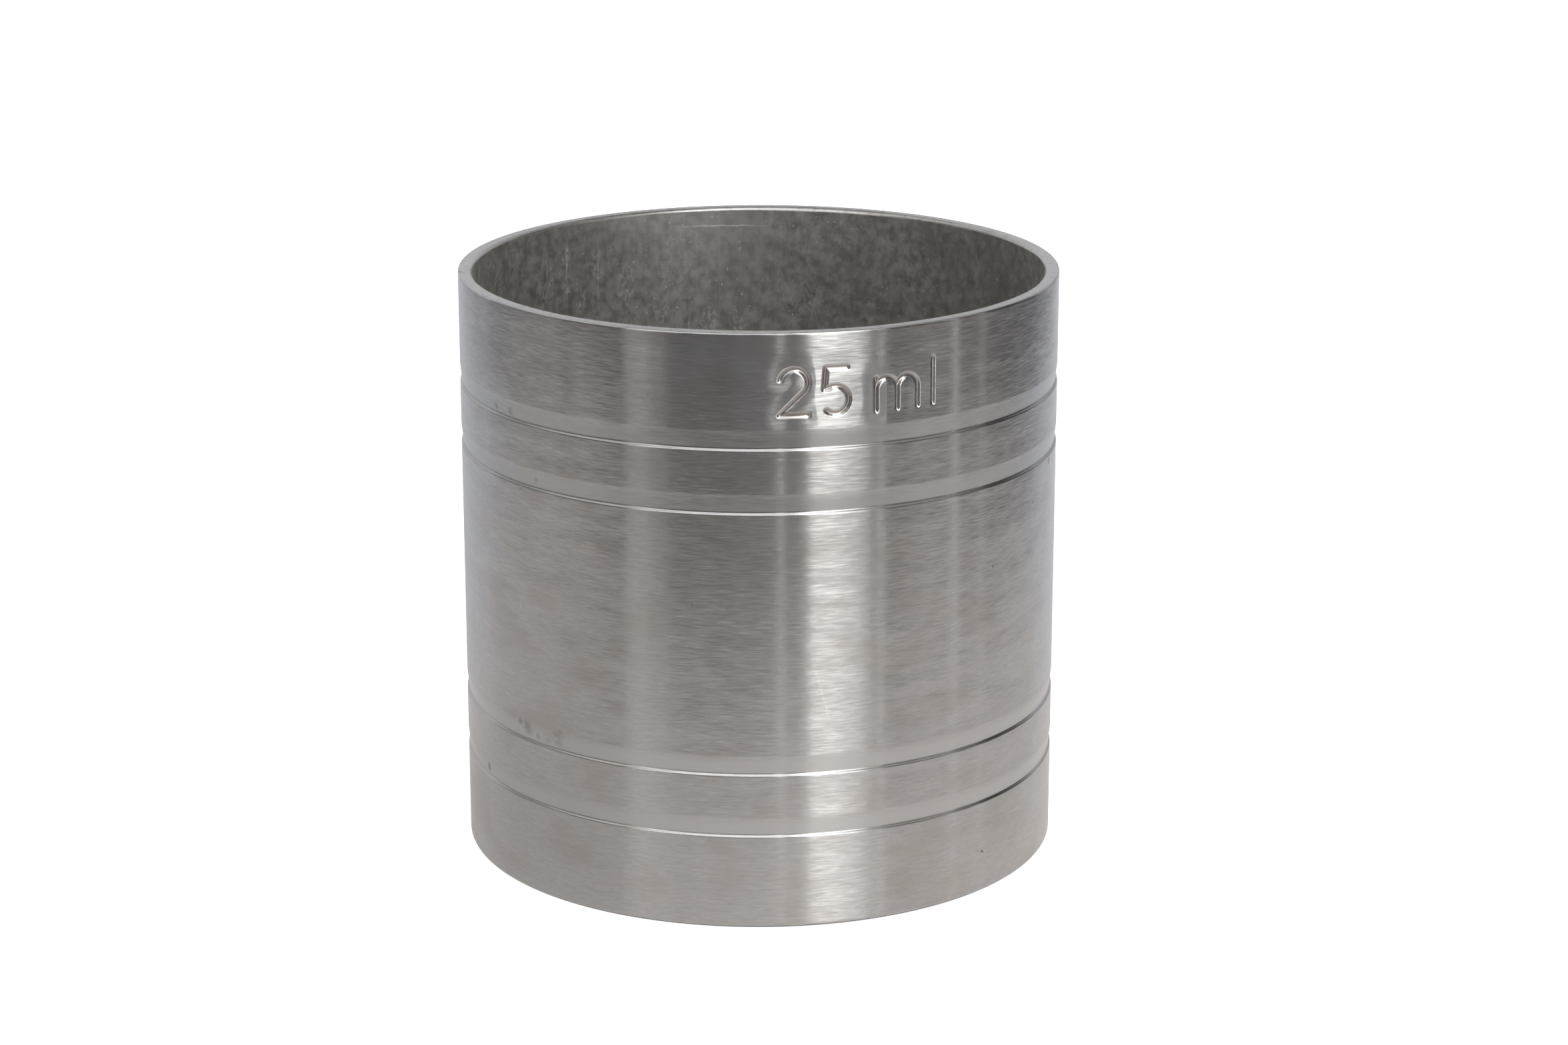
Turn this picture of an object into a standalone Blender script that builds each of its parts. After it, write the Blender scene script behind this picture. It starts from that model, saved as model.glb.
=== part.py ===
"""Thimble bar measure, 25 ml: a grooved stainless tube with a pressed base cap soldered part-way up its bore.

Run with: blender --background --python part.py
Metres, +Z up. The origin is the centre of the foot ring on the surface that the measure stands on, and the
capacity mark faces -Y.
"""

import math

import bmesh
import bpy
from mathutils import Vector

# Driving dimensions
OUTER_DIAMETER = 0.0381  # 1 1/2 inch tube
WALL = 0.0009
HEIGHT = 0.0375
CAPACITY = 25e-6  # cubic metres, level with the rim

RIM_ROUND = 0.00012  # outer edge of the lip
RIM_DEBURR = 0.00018  # inner edge of the lip
FOOT_ROUND = 0.00025  # outer edge of the foot ring
FOOT_DEBURR = 0.00015

GROOVE_INSET = 0.00655  # from each end of the tube to the middle of its outer groove
GROOVE_PITCH = 0.00395
GROOVE_WIDTH = 0.0013
GROOVE_DEPTH = 0.00012
GROOVE_DEEPEST = 0.85  # share of the groove's width from its upper edge to its deepest line

CAP_THICKNESS = 0.0008
CAP_BEND = 0.0010  # outer radius of the cap's turned-down edge
CAP_FLANGE = 0.0032  # height of the flange, floor to edge
SOLDER_GAP = 0.00005  # clearance at a soldered joint
SOLDER_ROOT = 0.00012  # width of the solder where it runs out between flange and tube
SOLDER_CROWN = 0.00002  # from the floor down to the solder's edge on the bore
SOLDER_HOLLOW = 0.00022  # from the floor down to the middle of the solder's face
SOLDER_FEATHER = 62  # degrees up the cap's bend where the solder's face runs out

MARK_TOP = 0.0022  # from the rim to the top of the capacity mark
MARK_HEIGHT = 0.0028
MARK_SMALL_HEIGHT = 0.70 * MARK_HEIGHT  # of a letter without a tall stem
MARK_FIGURE_WIDTH = 0.0017
MARK_M_WIDTH = 0.0028
MARK_TWO_LEFT = -0.0050  # left edges, along the wall from the middle of the mark
MARK_FIVE_LEFT = -0.0025
MARK_M_LEFT = 0.0009
MARK_L_LEFT = 0.0048
MARK_STROKE_RADIUS = 0.0002
MARK_DEPTH = 0.00014

STEPS = 96  # facets round every turned piece
EDGE_POINTS = 4  # points along each rounded edge of the tube
BEND_POINTS = 7  # points along the outside of the cap's bend

# Derived dimensions
RADIUS = OUTER_DIAMETER / 2
BORE_RADIUS = RADIUS - WALL
FLOOR_Z = HEIGHT - CAPACITY / (math.pi * BORE_RADIUS**2)
CAP_RADIUS = BORE_RADIUS - SOLDER_GAP
GROOVE_CENTRES = (
    HEIGHT - GROOVE_INSET,
    HEIGHT - GROOVE_INSET - GROOVE_PITCH,
    GROOVE_INSET + GROOVE_PITCH,
    GROOVE_INSET,
)


def clear_scene():
    for obj in list(bpy.data.objects):
        bpy.data.objects.remove(obj)


def new_collection(name):
    collection = bpy.data.collections.new(name)
    bpy.context.scene.collection.children.link(collection)
    return collection


def metal(name, colour, roughness):
    material = bpy.data.materials.new(name)
    material.use_nodes = True
    shader = material.node_tree.nodes["Principled BSDF"]
    shader.inputs["Base Color"].default_value = (*colour, 1.0)
    shader.inputs["Metallic"].default_value = 1.0
    shader.inputs["Roughness"].default_value = roughness
    return material


def arc(centre, radius, start, end, points):
    """Points (r, z) on an arc from start to end, in degrees, both ends included."""
    found = []
    for i in range(points):
        angle = math.radians(start + (end - start) * i / (points - 1))
        found.append((centre[0] + radius * math.cos(angle), centre[1] + radius * math.sin(angle)))
    return found


def groove_outline(centre_z):
    """A groove's section: it tapers in from its upper edge and steps back out at a crisp lower lip."""
    top = centre_z + GROOVE_WIDTH / 2
    deepest = top - GROOVE_WIDTH * GROOVE_DEEPEST
    return [(RADIUS, top), (RADIUS - GROOVE_DEPTH, deepest), (RADIUS, top - GROOVE_WIDTH)]


def turned(name, profile, material, collection, closed=True):
    """A solid of revolution about Z from (r, z) points that run down the outer side and up the inner one."""
    points = [(r, 0.0, z) for r, z in profile]
    edges = [(i, i + 1) for i in range(len(points) - 1)]
    if closed:
        edges.append((len(points) - 1, 0))
    mesh = bpy.data.meshes.new(name)
    mesh.from_pydata(points, edges, [])
    mesh.materials.append(material)
    obj = bpy.data.objects.new(name, mesh)
    collection.objects.link(obj)
    screw = obj.modifiers.new("Turn", "SCREW")
    screw.axis = "Z"
    screw.steps = STEPS
    screw.render_steps = STEPS
    screw.use_merge_vertices = True
    screw.merge_threshold = 1e-6
    screw.use_smooth_shade = True
    return obj


def tube_profile():
    """The measure's wall: rounded lip, four grooves, rounded foot, plain bore."""
    rim_centre = (RADIUS - RIM_ROUND, HEIGHT - RIM_ROUND)
    foot_centre = (RADIUS - FOOT_ROUND, FOOT_ROUND)
    outer = arc(rim_centre, RIM_ROUND, 90, 0, EDGE_POINTS)
    for centre_z in GROOVE_CENTRES:
        outer += groove_outline(centre_z)
    outer += arc(foot_centre, FOOT_ROUND, 0, -90, EDGE_POINTS)
    inner = [
        (BORE_RADIUS + FOOT_DEBURR, 0.0),
        (BORE_RADIUS, FOOT_DEBURR),
        (BORE_RADIUS, HEIGHT - RIM_DEBURR),
        (BORE_RADIUS + RIM_DEBURR, HEIGHT),
    ]
    return outer + inner


def cap_profile():
    """The floor of the measure: a flat disc with its edge turned down into a flange."""
    bend_centre = (CAP_RADIUS - CAP_BEND, FLOOR_Z - CAP_BEND)
    inner_bend = CAP_BEND - CAP_THICKNESS
    flange_foot = FLOOR_Z - CAP_FLANGE
    outside = [(0.0, FLOOR_Z)] + arc(bend_centre, CAP_BEND, 90, 0, BEND_POINTS)
    edge = [(CAP_RADIUS, flange_foot), (CAP_RADIUS - CAP_THICKNESS, flange_foot)]
    inside = arc(bend_centre, inner_bend, 0, 90, 3) + [(0.0, FLOOR_Z - CAP_THICKNESS)]
    return outside + edge + inside


def solder_profile():
    """Silver solder in the angle between the cap's bend and the bore, with a slightly hollow face."""
    bend_centre = (CAP_RADIUS - CAP_BEND, FLOOR_Z - CAP_BEND)
    bend_radius = CAP_BEND + SOLDER_GAP
    wall_radius = BORE_RADIUS - SOLDER_GAP
    root_reach = wall_radius - SOLDER_ROOT - bend_centre[0]
    root_angle = math.degrees(math.acos(root_reach / bend_radius))
    along_bend = arc(bend_centre, bend_radius, root_angle, SOLDER_FEATHER, 5)
    root_z = along_bend[0][1]
    feather_radius = along_bend[-1][0]
    face_middle = ((feather_radius + wall_radius) / 2, FLOOR_Z - SOLDER_HOLLOW)
    crown = (wall_radius, FLOOR_Z - SOLDER_CROWN)
    return [crown, (wall_radius, root_z)] + along_bend + [face_middle]


def wrapped(across, up):
    """A point of the capacity mark, laid round the tube: across is the arc length from the mark's middle."""
    angle = across / RADIUS
    radius = RADIUS + MARK_STROKE_RADIUS - MARK_DEPTH
    z = HEIGHT - MARK_TOP - MARK_HEIGHT + up
    return Vector((radius * math.sin(angle), -radius * math.cos(angle), z))


def figure_two(left, width, height):
    bowl = width / 2
    centre = (left + bowl, height - bowl)
    sweep = arc(centre, bowl, 165, -35, 9) + [(left, 0.0)]
    return [sweep, [(left, 0.0), (left + width, 0.0)]]


def figure_five(left, width, height):
    bowl = 0.30 * height
    centre = (left + width - bowl, bowl)
    top = [(left + 0.92 * width, height), (left + 0.16 * width, height), (left + 0.10 * width, 0.54 * height)]
    return [top + arc(centre, bowl, 120, -130, 11)]


def letter_m(left, width, height):
    arch = width / 4
    strokes = [[(left, height), (left, 0.0)]]
    for i in range(2):
        centre = (left + arch + 2 * arch * i, height - arch)
        strokes.append(arc(centre, arch, 160, 0, 7) + [(centre[0] + arch, 0.0)])
    return strokes


def letter_l(left, height):
    return [[(left, height), (left, 0.0)]]


def mark_strokes():
    """The capacity mark as single strokes, each a list of (across, up) points, centred on the tube's front."""
    return (
        figure_two(MARK_TWO_LEFT, MARK_FIGURE_WIDTH, MARK_HEIGHT)
        + figure_five(MARK_FIVE_LEFT, MARK_FIGURE_WIDTH, MARK_HEIGHT)
        + letter_m(MARK_M_LEFT, MARK_M_WIDTH, MARK_SMALL_HEIGHT)
        + letter_l(MARK_L_LEFT, MARK_HEIGHT)
    )


def stroke_cutter(index, stroke, collection):
    """A round punch stroke as a closed mesh, from a bevelled curve."""
    name = f"mark_cutter_{index}"
    curve = bpy.data.curves.new(name, "CURVE")
    curve.dimensions = "3D"
    curve.bevel_depth = MARK_STROKE_RADIUS
    curve.bevel_resolution = 2
    curve.use_fill_caps = True
    spline = curve.splines.new("POLY")
    spline.points.add(len(stroke) - 1)
    for point, (across, up) in zip(spline.points, stroke):
        point.co = (*wrapped(across, up), 1.0)
    guide = bpy.data.objects.new(name + "_guide", curve)
    collection.objects.link(guide)
    graph = bpy.context.evaluated_depsgraph_get()
    mesh = bpy.data.meshes.new_from_object(guide.evaluated_get(graph))
    mesh.name = name
    bpy.data.objects.remove(guide)
    return close_caps(bpy.data.objects.new(name, mesh), collection)


def close_caps(obj, collection):
    """Welds a curve's loose caps to its sides and marks the object as a cutter."""
    welded = bmesh.new()
    welded.from_mesh(obj.data)
    bmesh.ops.remove_doubles(welded, verts=welded.verts, dist=1e-7)
    bmesh.ops.recalc_face_normals(welded, faces=welded.faces)
    welded.to_mesh(obj.data)
    welded.free()
    collection.objects.link(obj)
    obj.hide_render = True
    obj.display_type = "WIRE"
    return obj


def punch_mark(tube, collection):
    for index, stroke in enumerate(mark_strokes()):
        cut = tube.modifiers.new(f"Mark {index}", "BOOLEAN")
        cut.operation = "DIFFERENCE"
        cut.object = stroke_cutter(index, stroke, collection)


def main():
    clear_scene()
    parts = new_collection("bar_measure")
    cutters = new_collection("cutters")
    brushed_steel = metal("brushed_steel", (0.60, 0.585, 0.57), 0.32)
    drawn_steel = metal("drawn_steel", (0.50, 0.49, 0.47), 0.45)
    silver_solder = metal("silver_solder", (0.66, 0.65, 0.62), 0.38)
    tube = turned("measure_tube", tube_profile(), brushed_steel, parts)
    punch_mark(tube, cutters)
    turned("base_cap", cap_profile(), drawn_steel, parts, closed=False)
    turned("solder_fillet", solder_profile(), silver_solder, parts)


main()
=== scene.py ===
"""Looks of the 25 ml thimble bar measure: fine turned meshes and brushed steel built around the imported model.

Metres, +Z up, the capacity mark faces -Y. Azimuths are degrees round the measure from -Y towards +X.
"""

import math

import bmesh
import bpy
import numpy as np
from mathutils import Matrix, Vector


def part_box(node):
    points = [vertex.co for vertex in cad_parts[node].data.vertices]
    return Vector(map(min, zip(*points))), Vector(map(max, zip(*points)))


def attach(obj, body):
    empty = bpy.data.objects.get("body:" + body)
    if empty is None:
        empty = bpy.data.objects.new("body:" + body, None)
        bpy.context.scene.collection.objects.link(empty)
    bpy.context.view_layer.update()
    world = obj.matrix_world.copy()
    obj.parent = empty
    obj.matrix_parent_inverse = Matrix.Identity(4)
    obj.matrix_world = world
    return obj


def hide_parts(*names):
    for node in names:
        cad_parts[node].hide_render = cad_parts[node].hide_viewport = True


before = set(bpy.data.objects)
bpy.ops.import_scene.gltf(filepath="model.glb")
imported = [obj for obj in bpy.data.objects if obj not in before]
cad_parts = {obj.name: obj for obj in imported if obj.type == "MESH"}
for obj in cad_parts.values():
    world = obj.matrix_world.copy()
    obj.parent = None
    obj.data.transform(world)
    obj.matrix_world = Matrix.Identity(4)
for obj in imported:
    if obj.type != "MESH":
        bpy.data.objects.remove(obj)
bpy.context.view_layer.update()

# The measure, from the frame and the design
MM = 0.001
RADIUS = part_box("measure_tube")[1].x
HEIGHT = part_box("measure_tube")[1].z
FLOOR_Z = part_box("base_cap")[1].z
WALL = 0.9 * MM
BORE_RADIUS = RADIUS - WALL
RIM_ROUND = 0.12 * MM
RIM_DEBURR = 0.18 * MM
FOOT_ROUND = 0.25 * MM
FOOT_DEBURR = 0.15 * MM
GROOVE_INSET = 6.55 * MM
GROOVE_PITCH = 3.95 * MM
GROOVE_WIDTH = 1.3 * MM
GROOVE_DEPTH = 0.12 * MM
GROOVE_DEEPEST = 0.87  # share of the groove's width from its upper edge
GROOVE_FADE = 0.4  # share of its width over which the polish in it sets in
GROOVE_EDGE = 0.01  # share of its width that counts as the plain wall
GROOVE_CENTRES = (
    HEIGHT - GROOVE_INSET,
    HEIGHT - GROOVE_INSET - GROOVE_PITCH,
    GROOVE_INSET + GROOVE_PITCH,
    GROOVE_INSET,
)
CAP_THICKNESS = 0.8 * MM
CAP_BEND = 1.0 * MM
CAP_FLANGE = 3.2 * MM
SOLDER_GAP = 0.05 * MM
SOLDER_ROOT = 0.12 * MM
SOLDER_CROWN = 0.02 * MM
SOLDER_SAG = 0.088 * MM  # from a straight face down to the middle of its hollow
SOLDER_RIPPLE = 0.02 * MM
SOLDER_SLUMP = 0.03 * MM  # how much lower the rippled middle of the face lies
SOLDER_FEATHER = 62  # degrees up the cap's bend
CAP_RADIUS = BORE_RADIUS - SOLDER_GAP

# The capacity mark
MARK_TOP = HEIGHT - 2.2 * MM
MARK_HEIGHT = 2.8 * MM
MARK_SMALL_HEIGHT = 0.70 * MARK_HEIGHT
MARK_FIGURE_WIDTH = 1.7 * MM
MARK_M_WIDTH = 2.8 * MM
MARK_TWO_LEFT = -5.0 * MM
MARK_FIVE_LEFT = -2.5 * MM
MARK_M_LEFT = 0.9 * MM
MARK_L_LEFT = 4.8 * MM
MARK_DEPTH = 0.11 * MM
MARK_HALF_WIDTH = 0.20 * MM  # of a punched stroke, out to its shoulder
DENT_DEPTH = 0.024 * MM  # how far the wall gave way round the punch
DENT_REACH = 0.7 * MM
SHOULDER = 1.5  # power of the cosine that shapes a stroke's sides: more is a narrower bottom

# Wear
NICK_AZIMUTH = -102.5
NICK_DEPTH = 0.09 * MM
NICK_HALF_WIDTH = 0.16 * MM
DEBURR_WAVER = 0.03 * MM
WALL_STAINS = (  # azimuth, height, reach, strength
    (-70.4, 11.00 * MM, 0.35 * MM, 0.35),
    (-68.2, 10.75 * MM, 0.65 * MM, 0.35),
    (-65.2, 10.42 * MM, 0.30 * MM, 0.25),
    (-62.2, 10.50 * MM, 0.55 * MM, 0.18),
    (-59.6, 10.75 * MM, 0.80 * MM, 0.22),
    (-83.6, 6.60 * MM, 0.35 * MM, 0.8),
    (-71.8, 30.85 * MM, 0.35 * MM, 0.5),
    (-76.9, 30.80 * MM, 0.30 * MM, 0.5),
    (-64.3, 27.05 * MM, 0.22 * MM, 0.4),
    (54.5, 26.05 * MM, 0.35 * MM, 0.8),
    (45.2, 24.15 * MM, 0.14 * MM, 0.7),
    (30.2, 21.20 * MM, 0.12 * MM, 0.5),
    (28.4, 2.65 * MM, 0.14 * MM, 0.8),
    (-30.9, 20.70 * MM, 0.13 * MM, 0.6),
    (-39.0, 33.55 * MM, 0.24 * MM, 0.7),
)
WALL_SCRATCHES = (  # azimuth and height of each end, half width, strength
    (-9.3, 17.6 * MM, -5.1, 12.4 * MM, 0.045 * MM, 0.5),
    (-68.3, 19.9 * MM, -70.9, 17.1 * MM, 0.045 * MM, 0.4),
    (14.0, 22.6 * MM, 17.5, 21.3 * MM, 0.040 * MM, 0.3),
    (-46.0, 14.9 * MM, -41.0, 14.2 * MM, 0.040 * MM, 0.3),
)
BORE_DEPOSITS = (  # azimuth, height, reach, strength
    (-153.6, 35.0 * MM, 0.55 * MM, 0.9),
    (-153.9, 33.2 * MM, 0.50 * MM, 0.8),
    (-149.2, 34.2 * MM, 0.45 * MM, 0.7),
    (-146.5, 33.0 * MM, 0.55 * MM, 0.6),
    (-157.5, 32.0 * MM, 0.60 * MM, 0.6),
    (-161.5, 34.2 * MM, 0.80 * MM, 0.4),
    (-169.0, 32.6 * MM, 0.90 * MM, 0.45),
    (-177.0, 30.6 * MM, 0.60 * MM, 0.6),
    (172.5, 29.0 * MM, 1.10 * MM, 0.5),
    (166.0, 29.2 * MM, 0.80 * MM, 0.5),
    (150.0, 31.0 * MM, 0.90 * MM, 0.4),
)
BORE_SCRATCHES = (  # as on the wall
    (178.6, 36.32 * MM, 159.7, 36.20 * MM, 0.06 * MM, 0.8),
    (142.1, 36.22 * MM, 138.7, 36.25 * MM, 0.04 * MM, 0.4),
    (-153.8, 36.4 * MM, -153.5, 33.2 * MM, 0.12 * MM, 0.45),
    (-147.6, 35.6 * MM, -147.8, 33.4 * MM, 0.10 * MM, 0.35),
    (-162.0, 34.6 * MM, -162.0, 31.2 * MM, 0.08 * MM, 0.3),
    (176.3, 30.3 * MM, 176.8, 28.9 * MM, 0.10 * MM, 0.4),
)

CORE = 0.3  # share of a blemish's reach that has its full strength
END_FADE = 0.8  # share of its strength that a scratch has lost at its ends

# Colours of the metal, of what has settled on it, and of painted light and shade
WALL_DARK = (0.52, 0.52, 0.528, 1)
WALL_PALE = (0.58, 0.58, 0.588, 1)
WALL_PATINA = (0.49, 0.465, 0.45, 1)
GROOVE_LOW_PAINTED_LIGHT = (0.57, 0.573, 0.583, 1)  # in the lower pair of grooves, made lighter: painted light
GROOVE_HIGH_PAINTED_SHADE = (0.49, 0.50, 0.515, 1)  # in the upper pair, made darker: painted shade
STEP_TARNISH = (0.40, 0.36, 0.32, 1)
# painted shade, with some dirt, in the punched strokes
PUNCH_DIRT_AND_SHADE = (0.30, 0.22, 0.17, 1)
STAIN = (0.20, 0.165, 0.14, 1)
WALL_SCRATCH = (0.72, 0.71, 0.69, 1)
LIP_DARK = (0.49, 0.48, 0.465, 1)
LIP_PALE = (0.58, 0.57, 0.555, 1)
LIP_SPOT = (0.34, 0.32, 0.30, 1)
BORE_DARK = (0.41, 0.405, 0.392, 1)
BORE_PALE = (0.56, 0.553, 0.537, 1)
BORE_DRAW_LINE = (0.60, 0.59, 0.57, 1)
BORE_PATCH = (0.38, 0.37, 0.35, 1)
BORE_SPECK = (0.80, 0.80, 0.79, 1)
BORE_SCRATCH = (0.95, 0.94, 0.92, 1)
DEPOSIT = (0.95, 0.95, 0.94, 1)
CAP_DARK = (0.43, 0.425, 0.41, 1)
CAP_PALE = (0.50, 0.495, 0.48, 1)
CAP_RING = (0.56, 0.555, 0.54, 1)
CAP_SPECK = (0.72, 0.72, 0.71, 1)
SOLDER_DARK = (0.50, 0.495, 0.475, 1)
SOLDER_PALE = (0.64, 0.635, 0.61, 1)

# Mesh spacing
COLUMN_STEP = 1.25  # degrees
FINE_COLUMN_STEP = 0.15  # at the mark and at the nick
MARK_REACH = 18  # degrees each side of the mark's middle with fine columns
NICK_REACH = 1  # the same at the nick
SEAM = 1e-6  # degrees that a zone of columns stops short, so that no column is made twice
FINE_ROW_STEP = 0.055 * MM
MARK_MARGIN = 1.0 * MM  # from the first fine row down to the mark's top
GUARD = 0.05 * MM  # from an edge to the row that keeps its shading off the plain wall
LIP_REACH = 1.0 * MM  # from the lip to the first plain row of the bore
EDGE_POINTS = 7  # along the tube's rounded outer edges
EDGE_ROWS = EDGE_POINTS + 1  # with the guard row
LIP_ROWS = 3  # of the lip's rounded edge that are faced off with it
NICK_ROWS = 5  # of the same edge that the nick dents
AXIS_RADIUS = 0.01 * MM  # left open by a lathed disc, and closed by a face

# The camera
VIEW_AZIMUTH = -18.7
CAMERA_DISTANCE = 236.1 * MM  # from the axis, along the ground
CAMERA_HEIGHT = 89.1 * MM
CAMERA_PITCH = 16.22
CAMERA_YAW = 0.39  # degrees the aim is turned to the right of the axis
CAMERA_LENS = 87.2  # millimetres
CAMERA_SENSOR = 36  # millimetres wide
CAMERA_REACH = (0.01, 20)  # nearest and farthest that it sees

# The studio, placed as the camera sees it: right is to its right, and back is behind the measure
WHITE = (1.0, 1.0, 1.0)
WARM = (1.0, 0.985, 0.93)
COOL = (0.97, 0.98, 1.0)
SKY = (1.0, 1.0, 0.97)
DIM_ROOM = (0.045, 0.045, 0.047)
STRIP_DISTANCE = 0.6
STRIPS = (  # azimuths from the camera's, elevations, radiance, colour
    ("window_left", 18.2, 30.0, 0, 60, 4.4, WARM),
    ("window_middle", 30.0, 37.0, 0, 60, 3.0, SKY),
    ("window_right", 37.0, 41.0, 0, 60, 1.8, SKY),
    ("door_gap", 7.1, 8.7, 0, 50, 2.6, WARM),
    ("window_frame", 44.8, 46.0, 0, 50, 3.6, WARM),
    ("right_wall", 46.0, 100.0, 0, 45, 0.03, WHITE),
    ("right_corner", 76.6, 77.9, 0, 45, 3.0, WHITE),
    ("right_shelf", 89.5, 92.0, 0, 45, 0.9, WHITE),
    ("far_wall_left", -24.0, -8.0, 0, 45, 0.05, WHITE),
    ("far_wall_right", -8.0, 6.0, 0, 45, 0.13, WHITE),
    ("left_door", -50.0, -41.0, 0, 45, 0.80, WARM),
    ("left_door_edge", -41.0, -34.0, 0, 45, 0.35, WARM),
    ("left_wall", -120.0, -80.0, 0, 50, 0.22, WHITE),
    ("left_back", -165.0, -120.0, 0, 50, 0.65, COOL),
    ("right_back", 128.0, 165.0, 0, 50, 0.5, COOL),
    ("back", 165.0, 195.0, 0, 50, 0.60, COOL),
    ("high_window", -56.0, 46.0, 44, 76, 2.4, WHITE),
    ("high_left", -130.0, -64.0, 44, 70, 1.0, WARM),
    ("high_right", 46.0, 120.0, 44, 70, 0.50, WARM),
)
CEILING_SIZE = 0.30
CEILING_HEIGHT = 0.8
CEILING_RADIANCE = 0.45
PAPER_FRONT = 0.068  # the sheet's edges, from the axis
PAPER_LEFT = 0.15
PAPER_RIGHT = 0.113
PAPER_BACK = 0.30
PAPER_TOP = 0.30  # of the part that stands up behind
PAPER_LEVEL = 0.1 * MM
PAPER_LEFT_GLOW = 0.64
PAPER_RIGHT_GLOW = 0.76  # of the part that stands up, too
PAPER_NEAR = (1.0, 0.935, 0.875, 1)
PAPER_FAR = (0.93, 0.94, 0.98, 1)
SHADOW_AZIMUTH = -75  # of the middle of the measure's shadow on the paper
SHADOW_DISTANCE = 24 * MM
SHADOW_SHADE = 0.80
FLOOR_REACH = 3.0
FLOOR_PAINT = (0.9, 0.9, 0.9, 1)
FLOOR_NEAR_GLOW = 0.72
FLOOR_FADE = (0.10, 0.45)  # distances from the axis between which the floor comes up to full white
BACKDROP_RADIUS = 2.9


# ---------------------------------------------------------------- outlines


def arc(centre, radius, start, end, points):
    """Points on an arc from start to end, in degrees, both ends included."""
    angles = np.radians(np.linspace(start, end, points))
    return [(centre[0] + radius * math.cos(a), centre[1] + radius * math.sin(a)) for a in angles]


def groove_depth(share):
    """A groove's depth at a share of its width from the upper edge: a slight taper in, a crisp step out."""
    if share < GROOVE_DEEPEST:
        return GROOVE_DEPTH * share / GROOVE_DEEPEST
    step = (share - GROOVE_DEEPEST) / (1 - GROOVE_DEEPEST)
    return GROOVE_DEPTH * (1 + math.cos(math.pi * step)) / 2


def groove_rows(centre_z):
    """(radius, height) rows down one groove, closer on its step, with a guard row each side."""
    top = centre_z + GROOVE_WIDTH / 2
    bottom = centre_z - GROOVE_WIDTH / 2
    shares = [0, 0.04, 0.4, 0.8] + list(np.linspace(GROOVE_DEEPEST, 1, 9))
    inside = [(RADIUS - groove_depth(share), top - GROOVE_WIDTH * share) for share in shares]
    return [(RADIUS, top + GUARD)] + inside + [(RADIUS, bottom - GUARD)]


def outer_rows():
    """(radius, height) rows down the outside of the tube, from the lip to the foot."""
    rim_centre = (RADIUS - RIM_ROUND, HEIGHT - RIM_ROUND)
    foot_centre = (RADIUS - FOOT_ROUND, FOOT_ROUND)
    rows = arc(rim_centre, RIM_ROUND, 90, 0, EDGE_POINTS)
    rows.append((RADIUS, HEIGHT - RIM_ROUND - GUARD))
    fine_top = MARK_TOP + MARK_MARGIN
    fine_bottom = GROOVE_CENTRES[0] + GROOVE_WIDTH / 2 + 2 * GUARD
    count = int((fine_top - fine_bottom) / FINE_ROW_STEP)
    rows += [(RADIUS, z) for z in np.linspace(fine_top, fine_bottom, count)]
    for centre_z in GROOVE_CENTRES:
        rows += groove_rows(centre_z)
    rows.append((RADIUS, FOOT_ROUND + GUARD))
    return rows + arc(foot_centre, FOOT_ROUND, 0, -90, EDGE_POINTS)


def inner_rows():
    """(radius, height) rows up the bore, from the foot to the lip."""
    return [
        (BORE_RADIUS + FOOT_DEBURR, 0.0),
        (BORE_RADIUS, FOOT_DEBURR),
        (BORE_RADIUS, FOOT_DEBURR + GUARD),
        (BORE_RADIUS, FLOOR_Z),
        (BORE_RADIUS, HEIGHT - LIP_REACH),
        (BORE_RADIUS, HEIGHT - RIM_DEBURR - GUARD),
        (BORE_RADIUS, HEIGHT - RIM_DEBURR),
        (BORE_RADIUS + RIM_DEBURR / 2, HEIGHT - RIM_DEBURR / 2),
        (BORE_RADIUS + RIM_DEBURR, HEIGHT),
        (BORE_RADIUS + RIM_DEBURR + GUARD, HEIGHT),
        (RADIUS - RIM_ROUND - GUARD, HEIGHT),
    ]


# ---------------------------------------------------------------- capacity mark
# Single strokes, each a list of (across, up) points from the mark's middle and its foot


def figure_two(left, width, height):
    bowl = width / 2
    centre = (left + bowl, height - bowl)
    sweep = arc(centre, bowl, 165, -35, 15) + [(left, 0.0)]
    return [sweep, [(left, 0.0), (left + width, 0.0)]]


def figure_five(left, width, height):
    bowl = 0.30 * height
    centre = (left + width - bowl, bowl)
    top = [(left + 0.92 * width, height), (left + 0.16 * width, height), (left + 0.10 * width, 0.54 * height)]
    return [top + arc(centre, bowl, 120, -130, 17)]


def letter_m(left, width, height):
    arch = width / 4
    strokes = [[(left, height), (left, 0.0)]]
    for i in range(2):
        centre = (left + arch + 2 * arch * i, height - arch)
        strokes.append(arc(centre, arch, 160, 0, 11) + [(centre[0] + arch, 0.0)])
    return strokes


def letter_l(left, height):
    return [[(left, height), (left, 0.0)]]


def mark_strokes():
    return (
        figure_two(MARK_TWO_LEFT, MARK_FIGURE_WIDTH, MARK_HEIGHT)
        + figure_five(MARK_FIVE_LEFT, MARK_FIGURE_WIDTH, MARK_HEIGHT)
        + letter_m(MARK_M_LEFT, MARK_M_WIDTH, MARK_SMALL_HEIGHT)
        + letter_l(MARK_L_LEFT, MARK_HEIGHT)
    )


def distance_to_mark(across, up):
    """Distance from each point of the unrolled wall to the nearest stroke of the mark."""
    nearest = np.full(np.broadcast(across, up).shape, 1.0)
    for stroke in mark_strokes():
        for (x0, y0), (x1, y1) in zip(stroke, stroke[1:]):
            dx, dy = x1 - x0, y1 - y0
            along = np.clip(((across - x0) * dx + (up - y0) * dy) / (dx * dx + dy * dy), 0, 1)
            nearest = np.minimum(nearest, np.hypot(across - x0 - along * dx, up - y0 - along * dy))
    return nearest


# ---------------------------------------------------------------- turned meshes


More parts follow.
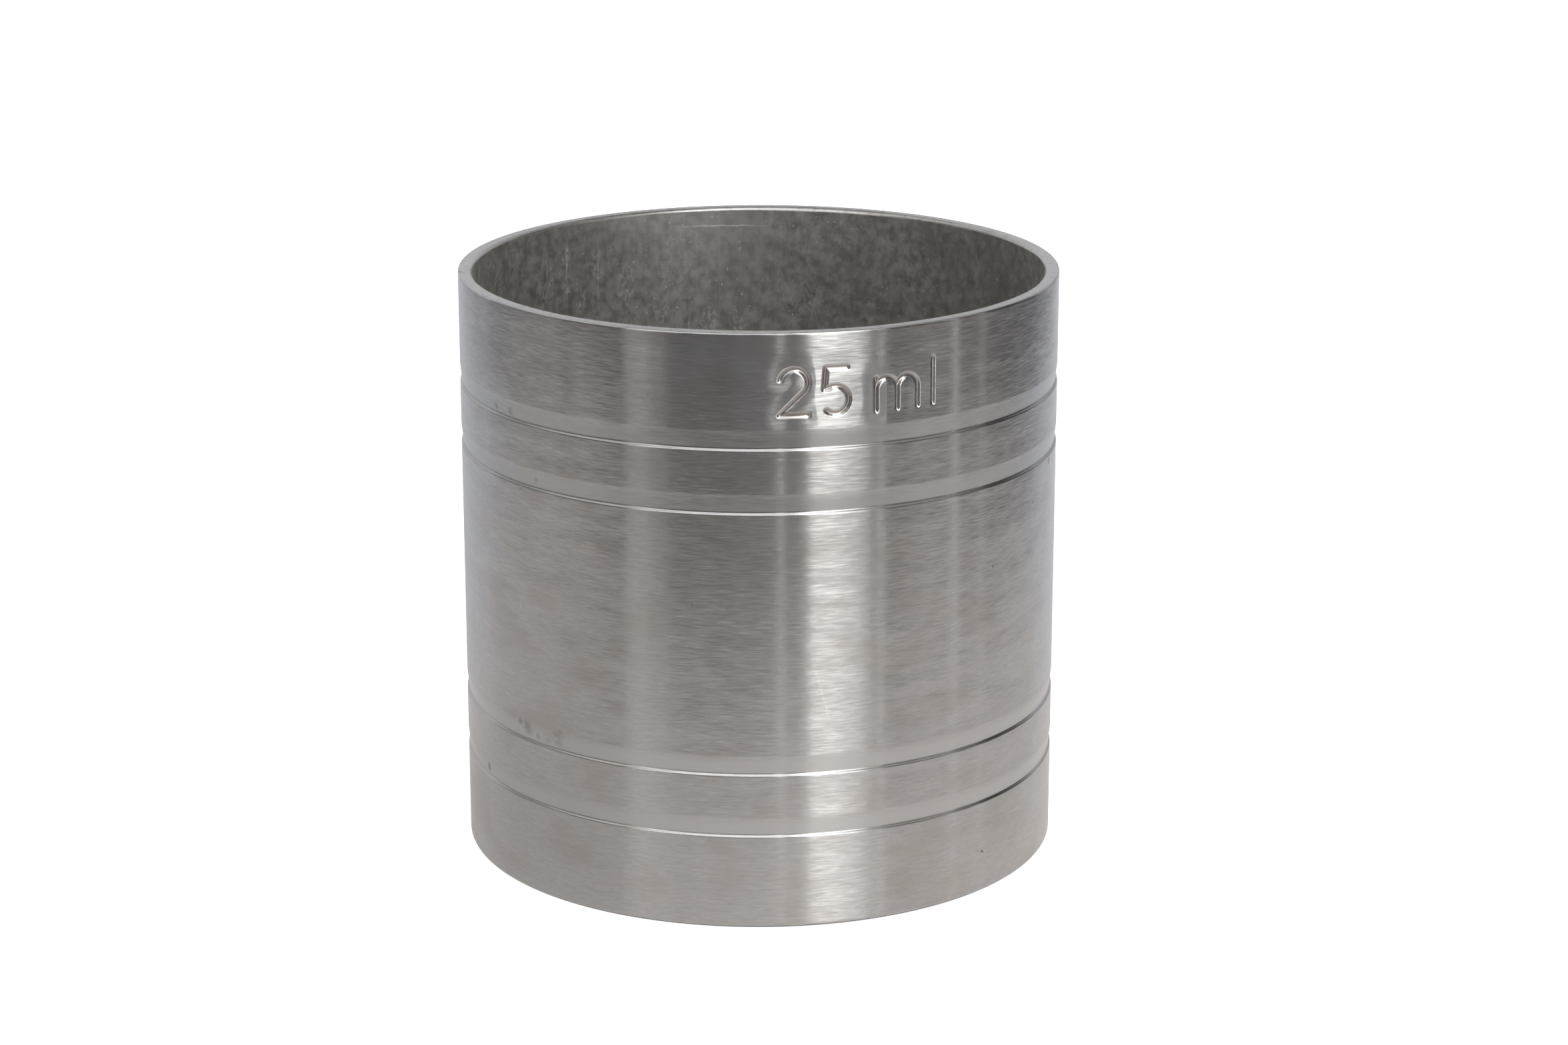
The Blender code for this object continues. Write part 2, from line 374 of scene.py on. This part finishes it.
def columns(zones):
    """Azimuths in degrees from (start, end, step) zones that follow each other round the measure."""
    return np.concatenate([np.arange(start, end - SEAM, step) for start, end, step in zones])


def spun(rows, azimuths):
    """Arrays [azimuth, row] of the radii and heights of (radius, height) rows, alike at every azimuth."""
    rows = np.array(rows)
    return np.tile(rows[:, 0], (len(azimuths), 1)), np.tile(rows[:, 1], (len(azimuths), 1))


def lathe(name, azimuths, radii, heights, materials, row_material, closed=True):
    """A mesh from arrays [azimuth, row] of radii and heights.

    The rows run down the outside and up the inside, and a closed mesh joins the last row to the first.
    """
    turns, rows = radii.shape
    a = np.radians(azimuths)[:, None]
    points = np.stack([radii * np.sin(a), -radii * np.cos(a), heights], axis=-1).reshape(-1, 3)
    here = np.arange(turns) * rows
    there = np.roll(here, -1)
    faces = []
    slots = []
    last = rows if closed else rows - 1
    for row in range(last):
        after = (row + 1) % rows
        faces.append(np.stack([here + row, here + after, there + after, there + row], axis=-1))
        slots.append(np.full(turns, row_material[row]))
    mesh = bpy.data.meshes.new(name)
    mesh.from_pydata(points.tolist(), [], np.concatenate(faces).tolist())
    for material in materials:
        mesh.materials.append(material)
    mesh.polygons.foreach_set("material_index", np.concatenate(slots).astype(np.int32))
    mesh.shade_smooth()
    obj = bpy.data.objects.new(name, mesh)
    bpy.context.scene.collection.objects.link(obj)
    return obj


def point_values(obj, name, values):
    """Stores one number per vertex for the materials to read."""
    attribute = obj.data.attributes.new(name, "FLOAT", "POINT")
    attribute.data.foreach_set("value", values.astype(np.float32).ravel())


def place(piece, node, slot):
    """Puts the piece in the place of a node of the frame; the slot is not used."""
    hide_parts(node)
    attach(piece, "root")


def tube_columns():
    """Azimuths for the tube, close together at the nick and at the mark."""
    return columns(
        [
            (-180, NICK_AZIMUTH - NICK_REACH, COLUMN_STEP),
            (NICK_AZIMUTH - NICK_REACH, NICK_AZIMUTH + NICK_REACH, FINE_COLUMN_STEP),
            (NICK_AZIMUTH + NICK_REACH, -MARK_REACH, COLUMN_STEP),
            (-MARK_REACH, MARK_REACH, FINE_COLUMN_STEP),
            (MARK_REACH, 180, COLUMN_STEP),
        ]
    )


def mark_relief(azimuths, row_heights):
    """The mark's strokes as shares of their depth, and how far in they and the dent round them go."""
    across = np.radians(azimuths)[:, None] * RADIUS
    up = row_heights[None, :] - (MARK_TOP - MARK_HEIGHT)
    distance = distance_to_mark(across, up)
    stroke = np.cos(np.clip(distance / MARK_HALF_WIDTH, 0, 1) * math.pi / 2) ** SHOULDER
    dent = np.exp(-((distance / DENT_REACH) ** 2))
    return stroke, MARK_DEPTH * stroke + DENT_DEPTH * dent


def groove_values(row_heights):
    """For each row, how polished it is as part of a groove, and whether it is on a groove's step."""
    polish = np.zeros(len(row_heights))
    step = np.zeros(len(row_heights))
    for centre_z in GROOVE_CENTRES:
        share = (centre_z + GROOVE_WIDTH / 2 - row_heights) / GROOVE_WIDTH
        inside = (share > GROOVE_EDGE) & (share < 1 - GROOVE_EDGE)
        polish[inside] = np.minimum(share[inside] / GROOVE_FADE, 1.0)
        step[inside & (share > GROOVE_DEEPEST - GROOVE_EDGE)] = 1.0
    return polish, step


def deburr_by_hand(azimuths, radii, heights, lip):
    """Makes the bevel below and inside the row `lip` wider in some places than in others."""
    a = np.radians(azimuths)
    waver = DEBURR_WAVER * (np.sin(3 * a + 0.7) + 0.6 * np.sin(7 * a + 2.1) + 0.4 * np.sin(17 * a))
    radii[:, lip - 1] += waver / 2
    radii[:, lip] += waver
    radii[:, lip + 1] += waver
    heights[:, lip - 2] -= waver
    heights[:, lip - 3] -= waver


def nick_lip(azimuths, radii, heights):
    """Dents the lip's outer edge, which is the first rows and the last one."""
    off_nick = np.radians(azimuths - NICK_AZIMUTH) * RADIUS / NICK_HALF_WIDTH
    notch = NICK_DEPTH * np.clip(1 - off_nick**2, 0, 1)
    radii[:, :NICK_ROWS] -= notch[:, None]
    radii[:, -1] -= notch
    heights[:, :NICK_ROWS] -= notch[:, None] / 2


def measure_tube(wall, lip_face, bore):
    """The wall of the measure, with its grooves, punched mark, hand-deburred lip and one small nick in it."""
    outer = outer_rows()
    inner = inner_rows()
    azimuths = tube_columns()
    radii, heights = spun(outer + inner, azimuths)
    row_heights = heights[0].copy()
    on_wall = np.zeros(len(row_heights))
    on_wall[EDGE_ROWS : len(outer) - EDGE_ROWS] = 1.0
    stroke, relief = mark_relief(azimuths, row_heights)
    radii -= relief * on_wall
    lip = len(row_heights) - 3  # the row where the deburred edge meets the lip's flat face
    deburr_by_hand(azimuths, radii, heights, lip)
    nick_lip(azimuths, radii, heights)

    wall_slot, lip_slot, bore_slot = 0, 1, 2
    row_material = [wall_slot] * len(outer) + [bore_slot] * len(inner)
    row_material[:LIP_ROWS] = [lip_slot] * LIP_ROWS
    row_material[lip - 2 :] = [lip_slot] * len(row_material[lip - 2 :])
    foot = len(outer)
    row_material[foot - 1 : foot + 1] = [lip_slot] * 2
    tube = lathe("measure_tube_steel", azimuths, radii, heights, [wall, lip_face, bore], row_material)

    polish, step = groove_values(row_heights)
    every_column = (len(azimuths), 1)
    point_values(tube, "groove", np.tile(polish * on_wall, every_column))
    point_values(tube, "step", np.tile(step * on_wall, every_column))
    point_values(tube, "punch", stroke * on_wall)
    place(tube, "measure_tube", "brushed_steel")


def base_cap(material):
    """The pressed floor, raised in the bore, with its edge turned down into a flange."""
    bend_centre = (CAP_RADIUS - CAP_BEND, FLOOR_Z - CAP_BEND)
    inner_bend = CAP_BEND - CAP_THICKNESS
    flange_foot = FLOOR_Z - CAP_FLANGE
    flat_radii = np.maximum(np.linspace(0, bend_centre[0] - GUARD, 12), AXIS_RADIUS)
    top = [(r, FLOOR_Z) for r in flat_radii]
    outside = arc(bend_centre, CAP_BEND, 90, 0, 13) + [(CAP_RADIUS, bend_centre[1] - GUARD)]
    edge = [
        (CAP_RADIUS, flange_foot + GUARD),
        (CAP_RADIUS - GUARD, flange_foot),
        (CAP_RADIUS - CAP_THICKNESS + GUARD, flange_foot),
        (CAP_RADIUS - CAP_THICKNESS, flange_foot + GUARD),
        (CAP_RADIUS - CAP_THICKNESS, bend_centre[1] - GUARD),
    ]
    inside = arc(bend_centre, inner_bend, 0, 90, 7)
    under = [(r, FLOOR_Z - CAP_THICKNESS) for r in flat_radii[::-1]]
    rows = top + outside + edge + inside + under
    azimuths = columns([(-180, 180, COLUMN_STEP)])
    radii, heights = spun(rows, azimuths)
    cap = lathe("base_cap_steel", azimuths, radii, heights, [material], [0] * len(rows), closed=False)
    close_axis(cap)
    place(cap, "base_cap", "drawn_steel")


def close_axis(obj):
    """Closes the two tiny rings left round the axis."""
    shape = bmesh.new()
    shape.from_mesh(obj.data)
    rings = [edge for edge in shape.edges if edge.is_boundary]
    bmesh.ops.holes_fill(shape, edges=rings)
    shape.to_mesh(obj.data)
    shape.free()


def solder_fillet(material):
    """Silver solder in the angle between cap and bore, its face hollow and a little uneven."""
    bend_centre = (CAP_RADIUS - CAP_BEND, FLOOR_Z - CAP_BEND)
    bend_radius = CAP_BEND + SOLDER_GAP
    wall_radius = BORE_RADIUS - SOLDER_GAP
    root_angle = math.degrees(math.acos((wall_radius - SOLDER_ROOT - bend_centre[0]) / bend_radius))
    along_bend = arc(bend_centre, bend_radius, root_angle, SOLDER_FEATHER, 9)
    feather_radius, feather_z = along_bend[-1]
    crown = (wall_radius, FLOOR_Z - SOLDER_CROWN)
    face = []
    for share in np.linspace(0, 1, 9)[1:-1]:
        sag = SOLDER_SAG * math.sin(math.pi * share)
        z = feather_z + (crown[1] - feather_z) * share - sag
        face.append((feather_radius + (wall_radius - feather_radius) * share, z))
    rows = [crown, (wall_radius, along_bend[0][1])] + along_bend + face
    azimuths = columns([(-180, 180, COLUMN_STEP)])
    radii, heights = spun(rows, azimuths)
    a = np.radians(azimuths)
    waves = np.sin(5 * a) + np.sin(11 * a + 1.0) + 0.7 * np.sin(23 * a + 2.0)
    middle = slice(len(rows) - len(face) + 1, len(rows) - 1)  # the face, less its first and last rows
    heights[:, middle] += (SOLDER_RIPPLE * waves - SOLDER_SLUMP)[:, None]
    bead = lathe("solder_fillet_silver", azimuths, radii, heights, [material], [0] * len(rows))
    place(bead, "solder_fillet", "silver_solder")


# ---------------------------------------------------------------- materials


def rolled_out(radius, azimuth, height):
    """A place on a cylinder, rolled out flat as Shader.unrolled does."""
    return Vector((radius * math.radians(azimuth), height, 0))


class Shader:
    """A node material under construction: a call adds a node, wires it up and returns one of its outputs."""

    def __init__(self, name):
        self.material = bpy.data.materials.new(name)
        self.material.use_nodes = True
        self.tree = self.material.node_tree
        self.tree.nodes.clear()
        self.position = self.node("TexCoord", outlet="Object")

    def node(self, kind, outlet=0, feeds=(), **settings):
        node = self.tree.nodes.new("ShaderNode" + kind)
        for key, value in settings.items():
            setattr(node, key, value)
        for key, value in dict(feeds).items():
            if isinstance(value, bpy.types.NodeSocket):
                self.tree.links.new(value, node.inputs[key])
            else:
                node.inputs[key].default_value = value
        return node.outputs[outlet]

    def math(self, operation, first, second=0.0):
        return self.node("Math", feeds={0: first, 1: second}, operation=operation)

    def vector(self, operation, first, second=(0, 0, 0), outlet=0):
        return self.node("VectorMath", outlet, {0: first, 1: second}, operation=operation)

    def scaled(self, vector, scale):
        return self.node("VectorMath", feeds={0: vector, "Scale": scale}, operation="SCALE")

    def spread(self, value, reach):
        """A number from 0 to 1 about its middle, as one between -reach / 2 and reach / 2."""
        return self.math("MULTIPLY", self.math("SUBTRACT", value, 0.5), reach)

    def noise_at(self, place, detail=2.0, roughness=0.5):
        feeds = {"Vector": place, "Scale": 1.0, "Detail": detail, "Roughness": roughness}
        return self.node("TexNoise", "Fac", feeds)

    def noise(self, across, along, detail=2.0, roughness=0.5):
        """Noise whose features are `across` metres wide in X and Y and `along` metres tall."""
        place = self.vector("MULTIPLY", self.position, (1 / across, 1 / across, 1 / along))
        return self.noise_at(place, detail, roughness)

    def rings(self, width, unevenness):
        """Noise in rings about Z, each about `width` metres wide and uneven on its way round."""
        flat = self.vector("MULTIPLY", self.position, (1, 1, 0))
        radius = self.vector("LENGTH", flat, outlet="Value")
        outward = self.node("CombineXYZ", feeds={"Z": self.math("DIVIDE", radius, width)})
        way_round = self.scaled(self.vector("NORMALIZE", flat), unevenness)
        return self.noise_at(self.vector("ADD", outward, way_round))

    def ramp(self, value, low, high, start=0.0, end=1.0):
        """Maps value smoothly from low..high to start..end, and holds it there outside."""
        feeds = {"Value": value, "From Min": low, "From Max": high, "To Min": start, "To Max": end}
        return self.node("MapRange", "Result", feeds, interpolation_type="SMOOTHSTEP")

    def mix(self, share, first, second):
        """A colour between first and second."""
        return self.node("Mix", 2, {0: share, 6: first, 7: second}, data_type="RGBA")

    def blend(self, share, first, second):
        """A number between first and second."""
        return self.node("Mix", 0, {0: share, 2: first, 3: second}, data_type="FLOAT")

    def attribute(self, name):
        return self.node("Attribute", "Fac", attribute_name=name)

    def along_axes(self):
        """The node that gives the shaded place's X, Y and Z."""
        return self.node("SeparateXYZ", feeds={0: self.position}).node

    def unrolled(self, radius):
        """The shaded place on a cylinder rolled out flat: distance round it from -Y, height, 0."""
        parts = self.along_axes()
        to_front = self.math("MULTIPLY", parts.outputs["Y"], -1.0)
        azimuth = self.math("ARCTAN2", parts.outputs["X"], to_front)
        feeds = {"X": self.math("MULTIPLY", azimuth, radius), "Y": parts.outputs["Z"]}
        return self.node("CombineXYZ", feeds=feeds)

    def frayed(self, place, size, reach):
        """The place, shifted by up to half the reach so that whatever is drawn at it has ragged edges."""
        feeds = {"Vector": self.scaled(place, 1 / size), "Scale": 1.0, "Detail": 3.0}
        shift = self.vector("SUBTRACT", self.node("TexNoise", "Color", feeds), (0.5, 0.5, 0.5))
        flat_shift = self.vector("MULTIPLY", shift, (reach, reach, 0))
        return self.vector("ADD", place, flat_shift)

    def spots(self, place, radius, blemishes, tallness=1.0):
        """How much of a blemish there is at the place, from (azimuth, height, reach, strength) ones.

        Each reaches its reach sideways and the tallness times that up and down.
        """
        total = 0.0
        for azimuth, height, reach, strength in blemishes:
            off = self.vector("SUBTRACT", place, rolled_out(radius, azimuth, height))
            squashed = self.vector("MULTIPLY", off, (1, 1 / tallness, 1))
            distance = self.vector("LENGTH", squashed, outlet="Value")
            spot = self.ramp(distance, CORE * reach, reach, strength, 0.0)
            total = self.math("MAXIMUM", total, spot)
        return total

    def scratches(self, place, radius, marks):
        """The same for straight scratches, which fade towards their ends."""
        total = 0.0
        for start_azimuth, start_height, end_azimuth, end_height, half_width, strength in marks:
            start = rolled_out(radius, start_azimuth, start_height)
            run = rolled_out(radius, end_azimuth, end_height) - start
            from_start = self.vector("SUBTRACT", place, start)
            along = self.vector("DOT_PRODUCT", from_start, run / run.length_squared, outlet="Value")
            held = self.node("Clamp", feeds={"Value": along, "Min": 0.0, "Max": 1.0})
            off = self.vector("SUBTRACT", from_start, self.scaled(tuple(run), held))
            distance = self.vector("LENGTH", off, outlet="Value")
            fade = self.math("SUBTRACT", 1.0, self.math("ABSOLUTE", self.spread(held, 2 * END_FADE)))
            line = self.ramp(distance, CORE * half_width, half_width, strength, 0.0)
            total = self.math("MAXIMUM", total, self.math("MULTIPLY", line, fade))
        return total

    def steel(self, colour, roughness, normal, anisotropic, turn=0.25):
        """Metal whose highlights on a wall stretch along Z at turn 0.25, and round the wall at turn 0."""
        feeds = {"Base Color": colour, "Metallic": 1.0, "Roughness": roughness, "Normal": normal}
        feeds.update({"Anisotropic": anisotropic, "Anisotropic Rotation": turn})
        feeds["Tangent"] = self.node("Tangent", direction_type="RADIAL", axis="Z")
        self.finish(self.node("BsdfPrincipled", "BSDF", feeds))
        return self.material

    def finish(self, surface):
        output = self.tree.nodes.new("ShaderNodeOutputMaterial")
        self.tree.links.new(surface, output.inputs["Surface"])

    def brushed(self, up, round_wall):
        """The normal, tilted up by one amount and round the wall by the other."""
        normal = self.node("NewGeometry", "Normal")
        axis = (0, 0, 1)
        lift = self.scaled(axis, up)
        swing = self.scaled(self.vector("CROSS_PRODUCT", axis, normal), round_wall)
        return self.vector("NORMALIZE", self.vector("ADD", self.vector("ADD", normal, lift), swing))

    def bump(self, height, depth):
        feeds = {"Height": height, "Distance": depth, "Strength": 1.0}
        return self.node("Bump", "Normal", feeds)


def brushed_wall():
    """The lathe-brushed outside: fine lines round the wall, polished grooves, a few stains and scratches."""
    s = Shader("brushed_steel_wall")
    groove = s.attribute("groove")
    step = s.attribute("step")
    punch = s.attribute("punch")
    fine = s.noise(1.1 * MM, 0.04 * MM, detail=1.0)
    streaks = s.noise(1.2 * MM, 0.12 * MM, detail=1.0)
    clouds = s.noise(6.0 * MM, 0.9 * MM)
    speckle = s.noise(0.45 * MM, 0.11 * MM, roughness=0.6)
    patina = s.noise(3.5 * MM, 2.5 * MM, detail=3.0)
    flat = s.unrolled(RADIUS)
    stained = s.spots(s.frayed(flat, 0.7 * MM, 0.4 * MM), RADIUS, WALL_STAINS)
    broken = s.ramp(s.noise(0.35 * MM, 0.35 * MM, detail=4.0), 0.26, 0.60)
    stains = s.math("MULTIPLY", stained, broken)
    scratches = s.scratches(flat, RADIUS, WALL_SCRATCHES)
    upper = s.ramp(s.along_axes().outputs["Z"], 0.3 * HEIGHT, 0.7 * HEIGHT)

    colour = s.mix(s.ramp(s.blend(0.5, speckle, streaks), 0.32, 0.68), WALL_DARK, WALL_PALE)
    colour = s.mix(s.ramp(patina, 0.45, 0.70, 0.0, 0.5), colour, WALL_PATINA)
    # The grooves are painted lighter low down and darker higher up: painted light and painted shade
    colour = s.mix(groove, colour, s.mix(upper, GROOVE_LOW_PAINTED_LIGHT, GROOVE_HIGH_PAINTED_SHADE))
    colour = s.mix(s.math("MULTIPLY", step, 0.35), colour, STEP_TARNISH)
    # The punched strokes darken towards their bottoms: partly dirt, partly painted shade in the recess
    colour = s.mix(s.math("MULTIPLY", punch, 0.5), colour, PUNCH_DIRT_AND_SHADE)
    colour = s.mix(stains, colour, STAIN)
    colour = s.mix(scratches, colour, WALL_SCRATCH)

    rough = s.blend(groove, s.ramp(clouds, 0.3, 0.7, 0.235, 0.250), 0.22)
    rough = s.blend(stains, rough, 0.40)

    # The brushing is a tilt of the normal, mostly up and down, and weaker in the polished grooves
    plain = s.math("SUBTRACT", 1.0, s.math("MULTIPLY", groove, 0.6))
    grain = s.math("ADD", s.spread(fine, 0.32), s.spread(streaks, 0.10))
    up = s.math("ADD", grain, s.spread(clouds, 0.14))
    normal = s.brushed(s.math("MULTIPLY", up, plain), s.spread(clouds, 0.015))
    return s.steel(colour, rough, normal, 1.0)


def turned_lip():
    """The lip, faced off on the lathe: faint rings and a few dull spots."""
    s = Shader("turned_steel_lip")
    rings = s.rings(0.05 * MM, 6.0)
    spots = s.noise(0.5 * MM, 0.5 * MM, detail=3.0)
    colour = s.mix(s.ramp(rings, 0.3, 0.7), LIP_DARK, LIP_PALE)
    colour = s.mix(s.ramp(spots, 0.50, 0.72, 0.0, 0.6), colour, LIP_SPOT)
    rough = s.ramp(rings, 0.3, 0.7, 0.32, 0.42)
    return s.steel(colour, rough, s.bump(rings, 0.002 * MM), 0.6)


def drawn_bore():
    """The bore as drawn, never polished: dull, mottled, with draw lines down it and pale dried spots."""
    s = Shader("drawn_steel_bore")
    draw = s.noise(0.25 * MM, 9.0 * MM, detail=3.0)
    mottle = s.noise(0.7 * MM, 0.8 * MM, detail=5.0, roughness=0.75)
    grain = s.noise(0.10 * MM, 0.16 * MM)
    specks = s.noise(0.30 * MM, 0.35 * MM, detail=1.0)
    patches = s.noise(5.0 * MM, 7.0 * MM)
    flat = s.unrolled(BORE_RADIUS)
    scratches = s.scratches(s.frayed(flat, 0.3 * MM, 0.15 * MM), BORE_RADIUS, BORE_SCRATCHES)
    settled = s.spots(s.frayed(flat, 0.4 * MM, 0.8 * MM), BORE_RADIUS, BORE_DEPOSITS, tallness=2.2)
    broken = s.ramp(s.noise(0.20 * MM, 0.35 * MM, detail=4.0), 0.44, 0.68)
    deposits = s.math("MULTIPLY", settled, broken)

    colour = s.mix(s.ramp(mottle, 0.32, 0.68), BORE_DARK, BORE_PALE)
    colour = s.mix(s.ramp(draw, 0.55, 0.75, 0.0, 0.35), colour, BORE_DRAW_LINE)
    colour = s.mix(s.ramp(patches, 0.45, 0.7, 0.0, 0.45), colour, BORE_PATCH)
    colour = s.mix(s.ramp(specks, 0.70, 0.78, 0.0, 0.6), colour, BORE_SPECK)
    colour = s.mix(deposits, colour, DEPOSIT)
    colour = s.mix(scratches, colour, BORE_SCRATCH)

    rough = s.ramp(mottle, 0.3, 0.7, 0.46, 0.60)
    normal = s.bump(s.blend(0.5, draw, grain), 0.003 * MM)
    return s.steel(colour, rough, normal, 0.3, turn=0.0)


def pressed_cap():
    """Pressed sheet: satin, with the faintest spun rings and a little mottle."""
    s = Shader("pressed_steel_cap")
    rings = s.rings(0.22 * MM, 2.5)
    mottle = s.noise(1.0 * MM, 1.0 * MM, detail=5.0, roughness=0.7)
    grain = s.noise(0.12 * MM, 0.12 * MM)
    specks = s.noise(0.35 * MM, 0.35 * MM, detail=1.0)
    colour = s.mix(s.ramp(mottle, 0.3, 0.7), CAP_DARK, CAP_PALE)
    colour = s.mix(s.ramp(rings, 0.5, 0.75, 0.0, 0.3), colour, CAP_RING)
    colour = s.mix(s.ramp(specks, 0.70, 0.78, 0.0, 0.4), colour, CAP_SPECK)
    rough = s.ramp(mottle, 0.3, 0.7, 0.38, 0.46)
    normal = s.bump(s.blend(0.35, grain, rings), 0.003 * MM)
    return s.steel(colour, rough, normal, 0.4)


def silver_solder():
    """Tin-silver solder: paler than the steel, satin, slightly grained where it froze."""
    s = Shader("silver_solder_satin")
    grain = s.noise(0.35 * MM, 0.35 * MM, detail=4.0)
    colour = s.mix(s.ramp(grain, 0.3, 0.7), SOLDER_DARK, SOLDER_PALE)
    rough = s.ramp(grain, 0.3, 0.7, 0.32, 0.46)
    return s.steel(colour, rough, s.bump(grain, 0.02 * MM), 0.0)


# ---------------------------------------------------------------- studio


def around(azimuth, distance, height):
    """A place at an azimuth from the camera's, a distance from the axis and a height."""
    a = math.radians(VIEW_AZIMUTH + azimuth)
    return (distance * math.sin(a), -distance * math.cos(a), height)


def beside(right, back, height):
    """A place so far to the right of the axis and behind it, as the camera sees it."""
    a = math.radians(VIEW_AZIMUTH)
    return (right * math.cos(a) - back * math.sin(a), right * math.sin(a) + back * math.cos(a), height)


def add_light(name, width, height, radiance, colour):
    """An area light of that size and radiance, in the scene."""
    light = bpy.data.lights.new(name, "AREA")
    light.shape = "RECTANGLE"
    light.size = width
    light.size_y = height
    light.energy = radiance * math.pi * width * height
    light.color = colour
    lamp = bpy.data.objects.new(name, light)
    bpy.context.scene.collection.objects.link(lamp)
    return lamp


def strip_light(name, start, end, low, high, radiance, colour):
    """An upright area light from azimuth start to end and from elevation low to high, in degrees."""
    width = 2 * STRIP_DISTANCE * math.tan(math.radians(end - start) / 2)
    bottom = STRIP_DISTANCE * math.tan(math.radians(low))
    top = STRIP_DISTANCE * math.tan(math.radians(high))
    middle = (start + end) / 2
    lamp = add_light(name, width, top - bottom, radiance, colour)
    lamp.location = around(middle, STRIP_DISTANCE, (top + bottom) / 2)
    lamp.rotation_euler = (math.pi / 2, 0, math.radians(VIEW_AZIMUTH + middle))


def ceiling_light():
    lamp = add_light("ceiling", CEILING_SIZE, CEILING_SIZE, CEILING_RADIANCE, WHITE)
    lamp.location = (0, 0, CEILING_HEIGHT)


def only_seen(obj, camera=False, glossy=False, diffuse=False, shadow=False):
    """Hides the object from every kind of ray that isn't asked for."""
    obj.visible_camera = camera
    obj.visible_glossy = glossy
    obj.visible_diffuse = diffuse
    obj.visible_transmission = False
    obj.visible_volume_scatter = False
    obj.visible_shadow = shadow


def glowing(name, colour, strength):
    s = Shader(name)
    s.finish(s.node("Emission", feeds={"Color": (*colour, 1), "Strength": strength}))
    return s.material


def lit_paper():
    """Paper lit from the right: it dims towards the left, and more so in the measure's own soft shadow."""
    s = Shader("lit_paper")
    across = s.vector("DOT_PRODUCT", s.position, beside(1, 0, 0), outlet="Value")
    depth = s.vector("DOT_PRODUCT", s.position, beside(0, 1, 0), outlet="Value")
    shadow_middle = around(SHADOW_AZIMUTH, SHADOW_DISTANCE, 0)
    off_shadow = s.vector("DISTANCE", s.position, shadow_middle, outlet="Value")
    glow = s.ramp(across, -45 * MM, 20 * MM, PAPER_LEFT_GLOW, PAPER_RIGHT_GLOW)
    shade = s.ramp(off_shadow, 8 * MM, 32 * MM, SHADOW_SHADE, 1.0)
    tint = s.mix(s.ramp(depth, -15 * MM, 70 * MM), PAPER_NEAR, PAPER_FAR)
    s.finish(s.node("Emission", feeds={"Color": tint, "Strength": s.math("MULTIPLY", glow, shade)}))
    return s.material


def pale_floor():
    """White, and glowing more the farther it is from the measure, so that it runs into the backdrop."""
    s = Shader("pale_floor")
    away = s.vector("LENGTH", s.position, outlet="Value")
    strength = s.ramp(away, *FLOOR_FADE, FLOOR_NEAR_GLOW, 1.0)
    glow = s.node("Emission", feeds={"Color": (*WHITE, 1), "Strength": strength})
    matt = s.node("BsdfDiffuse", feeds={"Color": FLOOR_PAINT})
    s.finish(s.node("AddShader", feeds={0: glow, 1: matt}))
    return s.material


def stage_plane(name, points, material):
    mesh = bpy.data.meshes.new(name)
    mesh.from_pydata(points, [], [(0, 1, 2, 3)])
    mesh.materials.append(material)
    obj = bpy.data.objects.new(name, mesh)
    bpy.context.scene.collection.objects.link(obj)
    return obj


def floor_and_backdrop():
    reach = FLOOR_REACH
    ground = [(-reach, -reach, 0), (reach, -reach, 0), (reach, reach, 0), (-reach, reach, 0)]
    floor = stage_plane("floor", ground, pale_floor())
    only_seen(floor, camera=True, diffuse=True, shadow=True)

    bpy.ops.mesh.primitive_uv_sphere_add(segments=48, ring_count=24, radius=BACKDROP_RADIUS)
    backdrop = bpy.context.object
    backdrop.name = "backdrop"
    backdrop.data.materials.append(glowing("white_backdrop", WHITE, 1.0))
    only_seen(backdrop, camera=True)


def paper():
    """A paper sheet under the measure that stands up behind it, and only shows in the steel."""
    left_back = beside(-PAPER_LEFT, PAPER_BACK, PAPER_LEVEL)
    right_back = beside(PAPER_RIGHT, PAPER_BACK, PAPER_LEVEL)
    left_front = beside(-PAPER_LEFT, -PAPER_FRONT, PAPER_LEVEL)
    right_front = beside(PAPER_RIGHT, -PAPER_FRONT, PAPER_LEVEL)
    left_top = beside(-PAPER_LEFT, PAPER_BACK, PAPER_TOP)
    right_top = beside(PAPER_RIGHT, PAPER_BACK, PAPER_TOP)
    lying = stage_plane("paper_sheet", [left_front, right_front, right_back, left_back], lit_paper())
    only_seen(lying, glossy=True)
    sweep = glowing("white_sweep", PAPER_FAR[:3], PAPER_RIGHT_GLOW)
    standing = stage_plane("paper_sweep", [left_back, right_back, right_top, left_top], sweep)
    only_seen(standing, glossy=True)


def studio():
    """A pale floor and backdrop, and paper, windows and dim walls that only show in the steel."""
    floor_and_backdrop()
    paper()
    for strip in STRIPS:
        strip_light(*strip)
    ceiling_light()
    world = bpy.data.worlds.new("dim_room")
    world.use_nodes = True
    world.node_tree.nodes["Background"].inputs["Color"].default_value = (*DIM_ROOM, 1)
    bpy.context.scene.world = world
    bpy.context.scene.view_settings.view_transform = "Standard"


def camera():
    data = bpy.data.cameras.new("camera")
    data.lens = CAMERA_LENS
    data.sensor_width = CAMERA_SENSOR
    data.clip_start, data.clip_end = CAMERA_REACH
    obj = bpy.data.objects.new("camera", data)
    obj.location = around(0, CAMERA_DISTANCE, CAMERA_HEIGHT)
    obj.rotation_euler = (math.radians(90 - CAMERA_PITCH), 0, math.radians(VIEW_AZIMUTH - CAMERA_YAW))
    bpy.context.scene.collection.objects.link(obj)
    bpy.context.scene.camera = obj


measure_tube(brushed_wall(), turned_lip(), drawn_bore())
base_cap(pressed_cap())
solder_fillet(silver_solder())
studio()
camera()
